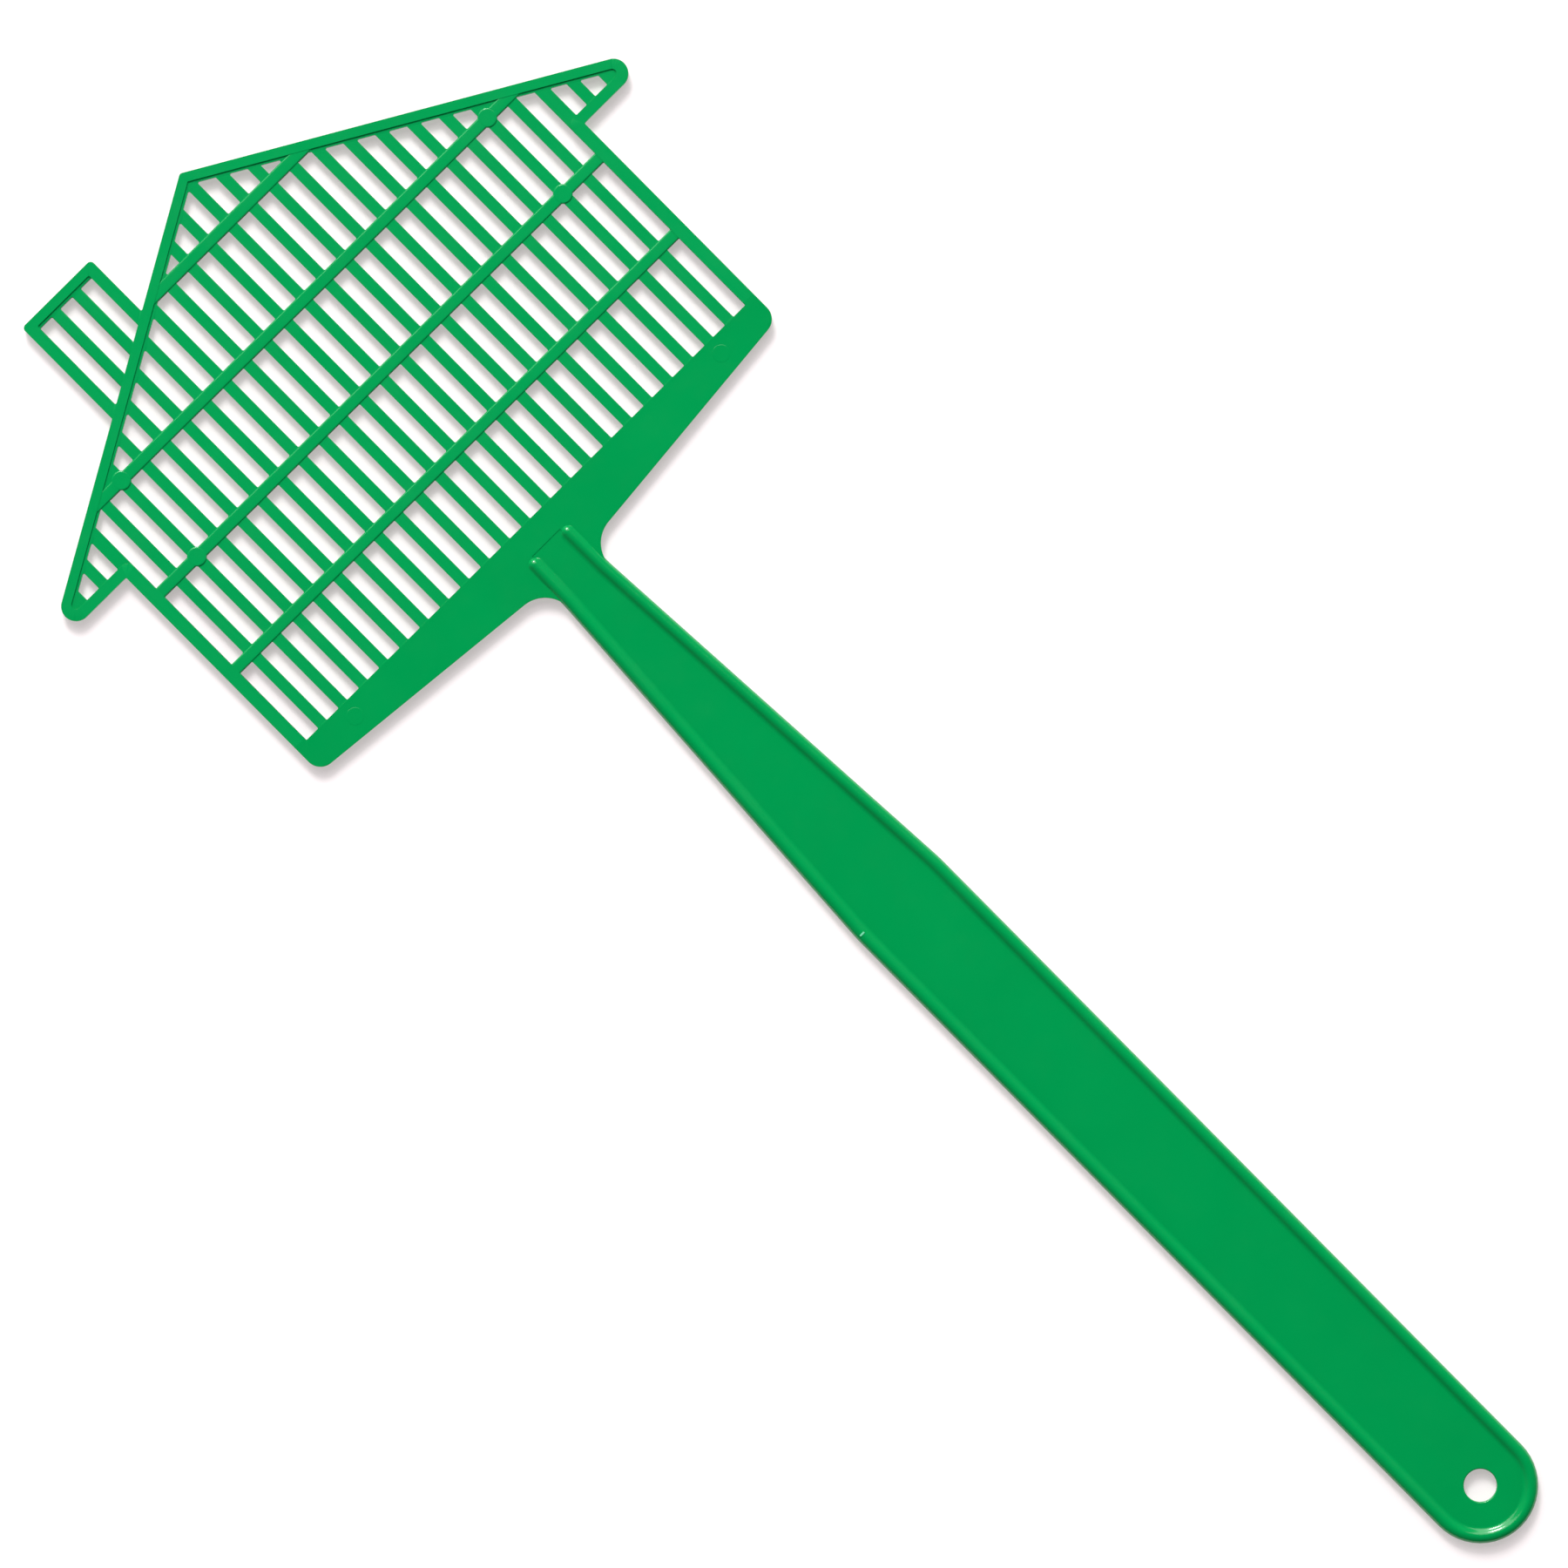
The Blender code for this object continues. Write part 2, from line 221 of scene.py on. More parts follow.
class SwatterSizes(bpy.types.PropertyGroup):
    """Sizes of the moulding that the frame leaves open."""

    rim_width: length_property("Rim width", "Width of the raised band along the roof, eaves and cap", 2.15)
    rim_edge: length_property("Rim edge", "Rounding of the rims' and the collar's edges", 0.24)
    rib_edge: length_property("Rib edge", "Rounding of the cross ribs' edges", 0.32)
    rib_drop: length_property("Rib drop", "How far the cross ribs stay below the rims", 0.06)
    slat_edge: length_property("Slat edge", "Rounding of the slats' edges", 0.22)
    slat_drop: length_property("Slat drop", "How far the slats stay below the rims", 0.28)
    slat_lift: length_property("Slat lift", "How far the slats' undersides stay above the rims'", 0.08)
    slot_corner: length_property("Slot corner", "Corner radius of the slots between the slats", 0.3)
    ridge_radius: length_property("Ridge radius", "Rounding of the ridge of the roof", 0.9)
    eave_tip_radius: length_property("Eave tip radius", "Outer radius of the tips of the eaves", 3.25)
    tip_pocket_radius: length_property("Tip pocket radius", "Inner radius of the raised band at a tip", 1.0)
    eave_turn_radius: length_property("Eave turn radius", "Radius between the bands of eave and wall", 2.0)
    chimney_radius: length_property("Chimney radius", "Corner radius of the chimney's cap", 1.0)
    collar_side: length_property("Collar side", "Length of the collar's upright sides", 7.0)
    collar_drop: length_property("Collar drop", "From the collar's top down to where it meets the neck", 13.2)
    collar_radius: length_property("Collar radius", "Radius of the collar's outer corners", 3.6)
    neck_radius: length_property("Neck radius", "Radius of the fillets between the collar and the neck", 7.2)
    kink_radius: length_property("Kink radius", "Radius of the slight bends of the handle's rails", 50.0)
    web_fillet: length_property("Web fillet", "Fillet between a rail and the sheet beside it", 1.4)
    hole_edge: length_property("Hole edge", "Rounding of the hanging hole's edges", 0.3)
    ejector_diameter: length_property("Ejector mark", "Diameter of the marks of the ejector pins", 4.3)
    gate_length: length_property("Gate mark length", "Length of the nub where the gate was cut off", 1.2)
    gate_width: length_property("Gate mark width", "Width of the nub where the gate was cut off", 0.4)


class SwatterFinish(bpy.types.PropertyGroup):
    """Colours and finish of the moulding and of the stage."""

    green: colour_property("Green", "Colour of the collar and the handle", "#008D47")
    thin_green: colour_property("Thin green", "Colour of the thinner slats, ribs and rims", "#03914B")
    # The nub's pale green is a painted highlight: it stands in for the glint of the key light on the nub's
    # tiny rounded edges.
    nub_painted_highlight_green: colour_property("Cut green", "Colour of the gate's nub, whitened where it was torn", "#6FCBA0")
    roughness: bpy.props.FloatProperty(
        name="Roughness", description="Roughness of the polished mould", default=0.17, min=0.0, max=1.0
    )
    floor: colour_property("Floor", "Colour of the table", "#C7C3C3")
    glow: colour_property("Glow", "Colour of the light that comes up through the table", "#FFF3F6")


def in_millimetres(sizes):
    """The lengths of a property group in millimetres, the unit that shapes are drawn in."""
    return SimpleNamespace(**{name: getattr(sizes, name) / MM for name in sizes.__annotations__})


# ---------------------------------------------------------------------------------------------- outlines


def roof_line(x, depth):
    """How high the line is that follows the roof's outer edge at a depth square to it."""
    return RIDGE - abs(x) * ROOF_SLOPE - depth / math.cos(ROOF_PITCH)


def roof_reach(y, depth):
    """The x at which the right slope's line at this depth comes down to y."""
    return (roof_line(0, depth) - y) / ROOF_SLOPE


def rounded(corners):
    """The points through corners of (x, y, radius), with an arc at each corner that has a radius."""
    outline = []
    for index, (x, y, radius) in enumerate(corners):
        corner = Vector((x, y))
        if not radius:
            outline.append(corner)
            continue
        before = (Vector(corners[index - 1][:2]) - corner).normalized()
        after = (Vector(corners[(index + 1) % len(corners)][:2]) - corner).normalized()
        half_angle = before.angle(after) / 2
        centre = corner + (before + after).normalized() * radius / math.sin(half_angle)
        first = corner + before * radius / math.tan(half_angle) - centre
        last = corner + after * radius / math.tan(half_angle) - centre
        sweep = first.angle_signed(last)
        steps = max(3, math.ceil(abs(sweep) / (2 * math.acos(1 - ARC_ERROR / radius))))
        for step in range(steps + 1):
            outline.append(centre + Matrix.Rotation(-sweep * step / steps, 2) @ first)
    return outline


def mirrored(corners):
    """The right half of an outline, from the top down, followed by its left half from the bottom up."""
    return corners + [(-x, *rest) for x, *rest in reversed(corners) if abs(x) > 0]


def under_roof(corners, depth):
    """The corners of an outline without what lies above the roof's line at this depth."""
    kept = []
    for here, after in zip(corners, corners[1:] + corners[:1]):
        room, room_after = (roof_line(x, depth) - y for x, y in (here, after))
        if room >= 0:
            kept.append(here)
        if (room >= 0) != (room_after >= 0):
            share = room / (room - room_after)
            kept.append(tuple(a + (b - a) * share for a, b in zip(here, after)))
    return kept


def area(corners):
    """The area inside an outline's corners."""
    pairs = zip(corners, corners[1:] + corners[:1])
    return abs(sum(a[0] * b[1] - b[0] * a[1] for a, b in pairs)) / 2


def slot(corners, radius):
    """A slot's outline with round corners, which are smaller where a side is short."""
    sides = [math.dist(a, b) for a, b in zip(corners, corners[1:] + corners[:1])]
    return rounded([(x, y, min(radius, CORNER_SHARE * min(sides))) for x, y in corners])


def rail_route(sizes, inset=0.0):
    """The right rail's line from its tip to the end loop, moved in towards the middle by an inset."""
    return rounded(
        [
            (RAIL_TIP_X - inset, RAIL_TIP, 0),
            (NECK_RAIL_X - inset, NECK, sizes.kink_radius),
            (GRIP_RAIL_X - inset, KINK, sizes.kink_radius),
            (GRIP_RAIL_X - inset, LOOP_CENTRE.y, 0),
        ]
    )


def loop_route(radius):
    """Points round the end of the handle, from its right side to its left."""
    steps = round(math.pi / RAIL_ARC_STEP)
    return [
        LOOP_CENTRE + Vector((math.cos(angle), -math.sin(angle))) * radius
        for angle in (math.pi * step / steps for step in range(steps + 1))
    ]


# ---------------------------------------------------------------------------------------------- shapes


def is_level(face):
    """Whether a face lies level rather than upright."""
    return abs(face.normal.z) > 0.5


def plate(outline, holes, levels, edge):
    """A sheet between two levels with holes in it and all its edges rounded, in millimetres."""
    bottom, top = levels
    shape = bmesh.new()
    for loop in (outline, *holes):
        corners = [shape.verts.new((*point, bottom)) for point in loop]
        for pair in zip(corners, corners[1:] + corners[:1]):
            shape.edges.new(pair)
    bmesh.ops.triangle_fill(shape, use_beauty=True, edges=shape.edges[:], normal=(0, 0, 1))
    extruded = bmesh.ops.extrude_face_region(shape, geom=shape.faces[:])["geom"]
    lifted = [item for item in extruded if isinstance(item, bmesh.types.BMVert)]
    bmesh.ops.translate(shape, verts=lifted, vec=(0, 0, top - bottom))
    bmesh.ops.recalc_face_normals(shape, faces=shape.faces[:])
    shape.normal_update()
    rims = [line for line in shape.edges if sum(is_level(face) for face in line.link_faces) == 1]
    bmesh.ops.bevel(
        shape,
        geom=rims,
        offset=edge,
        offset_type="OFFSET",
        segments=EDGE_SEGMENTS,
        profile=0.5,
        affect="EDGES",
        material=-1,
        clamp_overlap=True,
    )
    return shape


def split(shape, planes, name_of):
    """A closed shape cut along planes of (place, direction) into closed members, as {name: shape}."""
    for place, direction in planes:
        everything = [*shape.verts, *shape.edges, *shape.faces]
        bmesh.ops.bisect_plane(shape, geom=everything, dist=WELD, plane_co=place, plane_no=direction)
    owners = [name_of(face.calc_center_median()) for face in shape.faces]
    members = {}
    for name in sorted(set(owners)):
        member = members[name] = shape.copy()
        others = [face for face, owner in zip(member.faces, owners) if owner != name]
        bmesh.ops.delete(member, geom=others, context="FACES")
        rims = [line for line in member.edges if line.is_boundary]
        bmesh.ops.holes_fill(member, edges=rims, sides=0)
        bmesh.ops.recalc_face_normals(member, faces=member.faces[:])
    shape.free()
    return members


def upright_planes(places):
    """Cutting planes across X."""
    return [((x, 0, 0), (1, 0, 0)) for x in places]


def level_planes(places):
    """Cutting planes across Y."""
    return [((0, y, 0), (0, 1, 0)) for y in places]


def bend_lines():
    """Cutting planes across the neck, close enough together for it to bend smoothly."""
    count = math.ceil((BEND_END - BEND_START) / BEND_LINE_PITCH)
    return level_planes([BEND_START + (BEND_END - BEND_START) * step / count for step in range(count + 1)])


def swept(rings):
    """A closed skin drawn through rings of points."""
    shape = bmesh.new()
    loops = []
    for ring in rings:
        corners = [shape.verts.new(point) for point in ring]
        loops.append([shape.edges.new(pair) for pair in zip(corners, corners[1:] + corners[:1])])
    for here, there in zip(loops, loops[1:]):
        bmesh.ops.bridge_loops(shape, edges=here + there)
    bmesh.ops.holes_fill(shape, edges=loops[0] + loops[-1], sides=0)
    bmesh.ops.recalc_face_normals(shape, faces=shape.faces[:])
    return shape


def turned(profile, centre):
    """A round shape turned from a profile of (radius, height) that starts and ends on the axis."""
    shape = bmesh.new()
    corners = [shape.verts.new((radius, 0, height)) for radius, height in profile]
    lines = [shape.edges.new(pair) for pair in zip(corners, corners[1:])]
    bmesh.ops.spin(
        shape,
        geom=corners + lines,
        axis=(0, 0, 1),
        cent=(0, 0, 0),
        steps=TURN_STEPS,
        angle=2 * math.pi,
        use_merge=True,
    )
    bmesh.ops.remove_doubles(shape, verts=shape.verts[:], dist=WELD)
    bmesh.ops.recalc_face_normals(shape, faces=shape.faces[:])
    bmesh.ops.translate(shape, verts=shape.verts[:], vec=centre)
    return shape


def add_piece(name, shape, material, nodes=(), body="head", flat=True):
    """Add a finished piece of the moulding. A piece with a body hangs from that body's empty; one without
    keeps its place in the world.
    """
    bmesh.ops.scale(shape, vec=(MM, MM, MM), verts=shape.verts[:])
    mesh = bpy.data.meshes.new(name)
    shape.to_mesh(mesh)
    shape.free()
    mesh.materials.append(material)
    mesh.shade_smooth()
    mesh.set_sharp_from_angle(angle=SMOOTH_UNDER)
    piece = bpy.data.objects.new(name, mesh)
    bpy.context.scene.collection.objects.link(piece)
    if flat:
        weighted = piece.modifiers.new("flat_faces_stay_flat", "WEIGHTED_NORMAL")
        weighted.keep_sharp = True
    if nodes:
        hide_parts(*nodes)
    if body:
        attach(piece, body)
    else:
        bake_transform(piece)


# ---------------------------------------------------------------------------------------------- materials


def add_node(tree, kind, settings=(), inputs=(), links=()):
    """A shader node with its settings, its constant inputs and its links from other nodes' outputs."""
    node = tree.nodes.new(kind)
    for name, value in dict(settings).items():
        setattr(node, name, value)
    for name, value in dict(inputs).items():
        node.inputs[name].default_value = value
    for name, output in dict(links).items():
        tree.links.new(output, node.inputs[name])
    return node


def per_metre(millimetres):
    """The scale of a pattern whose repeat is this long."""
    return 1 / (millimetres * MM)


def mixed(tree, factor, first, second):
    """A colour between two others, by a factor from another node."""
    mix = add_node(
        tree,
        "ShaderNodeMix",
        settings={"data_type": "RGBA"},
        inputs={MIX_FIRST: [*first, 1.0], MIX_SECOND: [*second, 1.0]},
        links={"Factor": factor},
    )
    return mix.outputs[MIX_RESULT]


def polypropylene(name, colour, roughness, flow_mm, peel_mm, sink_mm, sink_depth_mm):
    """Polypropylene injection moulded in a polished mould: an even, fairly glossy skin.

    The eye gets a faint cloudiness of the pigment, patches a little glossier than others, a skin slightly
    uneven where the plastic sank as it cooled, and the fine orange peel of a mould polished by hand."""
    material = bpy.data.materials.new(name)
    material.use_nodes = True
    tree = material.node_tree
    shader = tree.nodes["Principled BSDF"]
    shader.inputs["IOR"].default_value = 1.49
    place = add_node(tree, "ShaderNodeTexCoord").outputs["Object"]
    cloud = add_node(
        tree,
        "ShaderNodeTexNoise",
        inputs={"Scale": per_metre(flow_mm), "Detail": 3.0, "Roughness": 0.55, "Distortion": 0.6},
        links={"Vector": place},
    )
    darker, lighter = ([part * share for part in colour] for share in (0.93, 1.07))
    pigment = mixed(tree, cloud.outputs["Fac"], darker, lighter)
    tree.links.new(pigment, shader.inputs["Base Color"])
    patch_mm = 9.0
    patches = add_node(
        tree,
        "ShaderNodeTexNoise",
        inputs={"Scale": per_metre(patch_mm), "Detail": 5.0, "Roughness": 0.7},
        links={"Vector": place},
    )
    glossiest, dullest = roughness - 0.05, roughness + 0.06
    gloss = add_node(
        tree,
        "ShaderNodeMapRange",
        inputs={"From Min": 0.3, "From Max": 0.7, "To Min": glossiest, "To Max": dullest},
        links={"Value": patches.outputs["Fac"]},
    )
    tree.links.new(gloss.outputs["Result"], shader.inputs["Roughness"])
    sink = add_node(
        tree,
        "ShaderNodeTexNoise",
        inputs={"Scale": per_metre(sink_mm), "Detail": 1.0},
        links={"Vector": place},
    )
    sunk = add_node(
        tree,
        "ShaderNodeBump",
        inputs={"Strength": 1.0, "Distance": sink_depth_mm * MM},
        links={"Height": sink.outputs["Fac"]},
    )
    peel_depth_mm = 0.004
    peel = add_node(
        tree,
        "ShaderNodeTexNoise",
        inputs={"Scale": per_metre(peel_mm), "Detail": 2.0},
        links={"Vector": place},
    )
    skin = add_node(
        tree,
        "ShaderNodeBump",
        inputs={"Strength": 1.0, "Distance": peel_depth_mm * MM},
        links={"Height": peel.outputs["Fac"], "Normal": sunk.outputs["Normal"]},
    )
    tree.links.new(skin.outputs["Normal"], shader.inputs["Normal"])
    return material


def member_material(context, member):
    """The finish of one kind of member, made the first time that it is asked for."""
    name = f"moulded_polypropylene_{member}"
    if name in bpy.data.materials:
        return bpy.data.materials[name]
    finish = context.scene.swatter_finish
    # The gate's nub takes the pale green, a painted highlight.
    colours = {"web": finish.green, "rail": finish.green, "gate": finish.nub_painted_highlight_green}
    colour = list(colours.get(member, finish.thin_green))
    cooling = {
        "rim": {"flow_mm": 24.0, "peel_mm": 1.6, "sink_mm": 9.0, "sink_depth_mm": 0.02},
        "slat": {"flow_mm": 14.0, "peel_mm": 1.6, "sink_mm": 6.0, "sink_depth_mm": 0.015},
        "rib": {"flow_mm": 14.0, "peel_mm": 1.6, "sink_mm": 6.0, "sink_depth_mm": 0.015},
        "web": {"flow_mm": 30.0, "peel_mm": 2.0, "sink_mm": 16.0, "sink_depth_mm": 0.03},
        "rail": {"flow_mm": 20.0, "peel_mm": 2.0, "sink_mm": 7.0, "sink_depth_mm": 0.02},
        "gate": {"flow_mm": 0.8, "peel_mm": 0.3, "sink_mm": 0.5, "sink_depth_mm": 0.02},
    }
    return polypropylene(name, colour, finish.roughness, **cooling[member])


def backlit_acrylic(colour, glow):
    """Opal acrylic of a table for taking stock pictures: matt, and lit a little from below.

    The eye gets an even white ground whose shadows stay pale even in the narrowest slot."""
    material = bpy.data.materials.new("backlit_opal_acrylic")
    material.use_nodes = True
    tree = material.node_tree
    shader = tree.nodes["Principled BSDF"]
    shader.inputs["Roughness"].default_value = 0.9
    shader.inputs["Specular IOR Level"].default_value = 0.1
    shader.inputs["Emission Color"].default_value = [*glow, 1.0]
    shader.inputs["Emission Strength"].default_value = 0.44
    place = add_node(tree, "ShaderNodeTexCoord").outputs["Object"]
    cloud_mm = 60.0
    cloud = add_node(
        tree,
        "ShaderNodeTexNoise",
        inputs={"Scale": per_metre(cloud_mm), "Detail": 2.0},
        links={"Vector": place},
    )
    darker = [part * 0.995 for part in colour]
    tree.links.new(mixed(tree, cloud.outputs["Fac"], darker, colour), shader.inputs["Base Color"])
    return material


# ---------------------------------------------------------------------------------------------- operators


class SWATTER_OT_slats(bpy.types.Operator):
    """Make the slats, each with its share of the ledge under the roof and its stubs in the cross ribs"""

    bl_idname = "swatter.add_slats"
    bl_label = "Slats"

    def execute(self, context):
        sizes = in_millimetres(context.scene.swatter_sizes)
        levels = (RIM_LEVELS[0] + sizes.slat_lift, RIM_LEVELS[1] - sizes.slat_drop)
        material = member_material(context, "slat")

        half = [
            (0, roof_line(0, ROOT), 0),
            (roof_reach(EAVE_BOTTOM + ROOT, ROOT), EAVE_BOTTOM + ROOT, sizes.eave_tip_radius - ROOT),
            (WALL_MIDDLE, EAVE_BOTTOM + ROOT, 0),
            (WALL_MIDDLE, COLLAR_TOP - ROOT, 0),
        ]
        lattice = plate(rounded(mirrored(half)), self.house_slots(sizes), levels, sizes.slat_edge)
        between_slats = [(number + 0.5) * SLAT_PITCH for number in range(-MIDDLE_SLAT, MIDDLE_SLAT)]
        eave_cut = (WALL_OUTER + low("eave_slat_right").x) / 2

        def name_of(centre):
            if abs(centre.x) > eave_cut:
                return f"eave_slat_{SIDES[math.copysign(1, centre.x)]}"
            number = round(centre.x / SLAT_PITCH) + MIDDLE_SLAT
            if 1 <= number <= SLAT_COUNT:
                return SLATS[number - 1]
            return f"wall_post_{SIDES[math.copysign(1, centre.x)]}"

        cuts = upright_planes([*between_slats, -eave_cut, eave_cut])
        for name, member in split(lattice, cuts, name_of).items():
            nodes = () if name.startswith("wall_post") else (name,)
            add_piece(f"moulded_{name}", member, material, nodes)

        inner, outer = CHIMNEY_INNER - ROOT, CHIMNEY_OUTER + ROOT
        chimney = [
            (outer, CAP_TOP - ROOT, 0),
            (inner, CAP_TOP - ROOT, 0),
            (inner, roof_line(inner, ROOT / 2), 0),
            (outer, roof_line(outer, ROOT / 2), 0),
        ]
        middle = (low("chimney_slat_1").x + high("chimney_slat_2").x) / 2
        lattice = plate(rounded(chimney), self.chimney_slots(sizes), levels, sizes.slat_edge)
        parts = split(lattice, upright_planes([middle]), lambda centre: 1 if centre.x < middle else 2)
        for number, member in parts.items():
            name = f"chimney_slat_{number}"
            add_piece(f"moulded_{name}", member, material, (name,))
        return {"FINISHED"}

    @staticmethod
    def house_slots(sizes):
        """Outlines of the slots between the uprights of the house and between its cross ribs."""
        uprights = ["eave_slat_left", "wall_rail_left", *SLATS, "wall_rail_right", "eave_slat_right"]
        lefts = [-EAVE_SLOT_END] + [high(node).x for node in uprights]
        rights = [low(node).x for node in uprights] + [EAVE_SLOT_END]
        bottoms = [high(node).y for node in CROSS_RIBS] + [COLLAR_TOP]
        tops = [RIDGE] + [low(node).y for node in CROSS_RIBS]
        slots = []
        for left, right in zip(lefts, rights):
            in_eaves = abs(left + right) / 2 > WALL_OUTER
            for bottom, top in [(EAVE_TOP, RIDGE)] if in_eaves else zip(bottoms, tops):
                corners = under_roof([(left, bottom), (right, bottom), (right, top), (left, top)], ROOF_DEPTH)
                if area(corners) > SMALLEST_SLOT:
                    slots.append(slot(corners, sizes.slot_corner))
        return slots

    @staticmethod
    def chimney_slots(sizes):
        """Outlines of the slots in the chimney, which end just inside the roof's rim."""
        uprights = ["chimney_rail_outer", "chimney_slat_1", "chimney_slat_2", "chimney_rail_inner"]
        slots = []
        for before, after in zip(uprights, uprights[1:]):
            left, right = high(before).x, low(after).x
            ends = [(right, roof_line(right, GAP)), (left, roof_line(left, GAP))]
            slots.append(slot([(left, CAP_BOTTOM), (right, CAP_BOTTOM), *ends], sizes.slot_corner))
        return slots


class SWATTER_OT_cross_ribs(bpy.types.Operator):
    """Make the four cross ribs, which run over the slats from rim to rim"""

    bl_idname = "swatter.add_cross_ribs"
    bl_label = "Cross ribs"

    def execute(self, context):
        sizes = in_millimetres(context.scene.swatter_sizes)
        levels = (RIM_LEVELS[0] + sizes.rib_drop, RIM_LEVELS[1] - sizes.rib_drop)
        for node in CROSS_RIBS:
            half = []
            for y in (high(node).y, low(node).y):
                reach = min(roof_reach(y, ROOT), WALL_INNER + ROOT)
                half.append((reach, y, 0))
            rib = plate(rounded(mirrored(half)), [], levels, sizes.rib_edge)
            add_piece(f"moulded_{node}", rib, member_material(context, "rib"), (node,))
        return {"FINISHED"}


class SWATTER_OT_rims(bpy.types.Operator):
    """Make the raised rims of the roof, eaves, walls and chimney, and the collar that they run into"""

    bl_idname = "swatter.add_rims"
    bl_label = "Rims and collar"

    def execute(self, context):
        sizes = in_millimetres(context.scene.swatter_sizes)
        holes = [self.house_opening(sizes), self.chimney_opening(sizes)]
        sheet = plate(self.outline(sizes), holes, RIM_LEVELS, sizes.rim_edge)

        on_roof = -CLEAR_OF_CORNER
        wall_cut = WALL_OUTER + CLEAR_OF_CORNER
        eave_cut = EAVE_TOP + CLEAR_OF_CORNER
        collar_cut = COLLAR_TOP + CLEAR_OF_CORNER
        cap_cut = CAP_BOTTOM - CLEAR_OF_CORNER
        cuts = upright_planes([0, -EAVE_SLOT_END, EAVE_SLOT_END, -wall_cut, wall_cut])
        cuts += level_planes([collar_cut, cap_cut]) + bend_lines()
        cuts.append(((0, roof_line(0, on_roof), 0), (-math.sin(ROOF_PITCH), math.cos(ROOF_PITCH), 0)))

        def name_of(centre):
            x, y, _ = centre
            side = SIDES[math.copysign(1, x)]
            if y > roof_line(x, on_roof):
                if y > cap_cut:
                    return "chimney_cap"
                middle = (CHIMNEY_OUTER + CHIMNEY_INNER) / 2
                return "chimney_rail_outer" if x < middle else "chimney_rail_inner"
            if y < collar_cut:
                return "collar"
            if y > eave_cut or abs(x) > EAVE_SLOT_END:
                return f"roof_rail_{side}"
            return f"eave_rail_{side}" if abs(x) > wall_cut else f"wall_rail_{side}"

        for name, member in split(sheet, cuts, name_of).items():
            if name == "collar":
                material = member_material(context, "web")
                add_piece("moulded_collar", member, material, (name,), body=None)
            else:
                add_piece(f"moulded_{name}", member, member_material(context, "rim"), (name,))
        return {"FINISHED"}

    @staticmethod
    def outline(sizes):
        """The outline of the head, from the ridge round the right side. Its end at the neck is hidden."""
        end = NECK - COLLAR_TAIL
        under_rail = RAIL_RADIUS / 2
        half = [
            (0, RIDGE, sizes.ridge_radius),
            (roof_reach(EAVE_BOTTOM, 0), EAVE_BOTTOM, sizes.eave_tip_radius),
            (WALL_OUTER, EAVE_BOTTOM, sizes.slot_corner),
            (WALL_OUTER, COLLAR_TOP - sizes.collar_side, sizes.collar_radius),
            (NECK_RAIL_X + ROOT, COLLAR_TOP - sizes.collar_drop, sizes.neck_radius),
            (NECK_RAIL_X + ROOT, end, 0),
            (NECK_RAIL_X - under_rail, end, 0),
            (RAIL_TIP_X - under_rail, RAIL_TIP, 0),
        ]
        chimney = [
            (CHIMNEY_OUTER, roof_line(CHIMNEY_OUTER, 0), sizes.slot_corner),
            (CHIMNEY_OUTER, CAP_TOP, sizes.chimney_radius),
            (CHIMNEY_INNER, CAP_TOP, sizes.chimney_radius),
            (CHIMNEY_INNER, roof_line(CHIMNEY_INNER, 0), sizes.slot_corner),
        ]
        return rounded(mirrored(half) + chimney)

    @staticmethod
    def house_opening(sizes):
        """The inside of the raised rim, past the walls and out into the eaves."""
        half = [
            (0, roof_line(0, sizes.rim_width), sizes.slot_corner),
            (roof_reach(EAVE_TOP, sizes.rim_width), EAVE_TOP, sizes.tip_pocket_radius),
            (WALL_INNER, EAVE_TOP, sizes.eave_turn_radius),
            (WALL_INNER, COLLAR_TOP, sizes.slot_corner),
        ]
        return rounded(mirrored(half))

    @staticmethod
    def chimney_opening(sizes):
        """The inside of the chimney's raised rim, down to the roof."""
        outer, inner = CHIMNEY_OUTER + CHIMNEY_RAIL, CHIMNEY_INNER - CHIMNEY_RAIL
        top = CAP_TOP - sizes.rim_width
        ends = [(inner, roof_line(inner, 0)), (outer, roof_line(outer, 0))]
        return rounded([(x, y, sizes.slot_corner) for x, y in [(outer, top), (inner, top), *ends]])


class SWATTER_OT_web(bpy.types.Operator):
    """Make the thin sheet between the handle's rails, with the hanging hole in its end"""

    bl_idname = "swatter.add_web"
    bl_label = "Handle web"

    def execute(self, context):
        sizes = in_millimetres(context.scene.swatter_sizes)
        tip = Vector((RAIL_TIP_X - WEB_INSET, RAIL_TIP + ROOT))
        right = [tip, *rail_route(sizes, WEB_INSET)[1:-1]]
        left = [Vector((-x, y)) for x, y in reversed(right)]
        outline = right + loop_route(GRIP_RAIL_X - WEB_INSET) + left
        hole = [
            LOOP_CENTRE + Vector((math.cos(angle), math.sin(angle))) * HOLE_RADIUS
            for angle in (2 * math.pi * step / HOLE_STEPS for step in range(HOLE_STEPS))
        ]
        sheet = plate(outline, [hole], WEB_LEVELS, sizes.hole_edge)

        def name_of(centre):
            if centre.y > KINK_CUT:
                return "neck_web"
            return "grip_web" if centre.y > TAB_TOP else "hang_tab"

        cuts = level_planes([KINK_CUT, TAB_TOP]) + bend_lines()
        for name, member in split(sheet, cuts, name_of).items():
            body = None if name == "neck_web" else "handle"
            material = member_material(context, "web")
            add_piece(f"moulded_{name}", member, material, (name,), body)
        return {"FINISHED"}


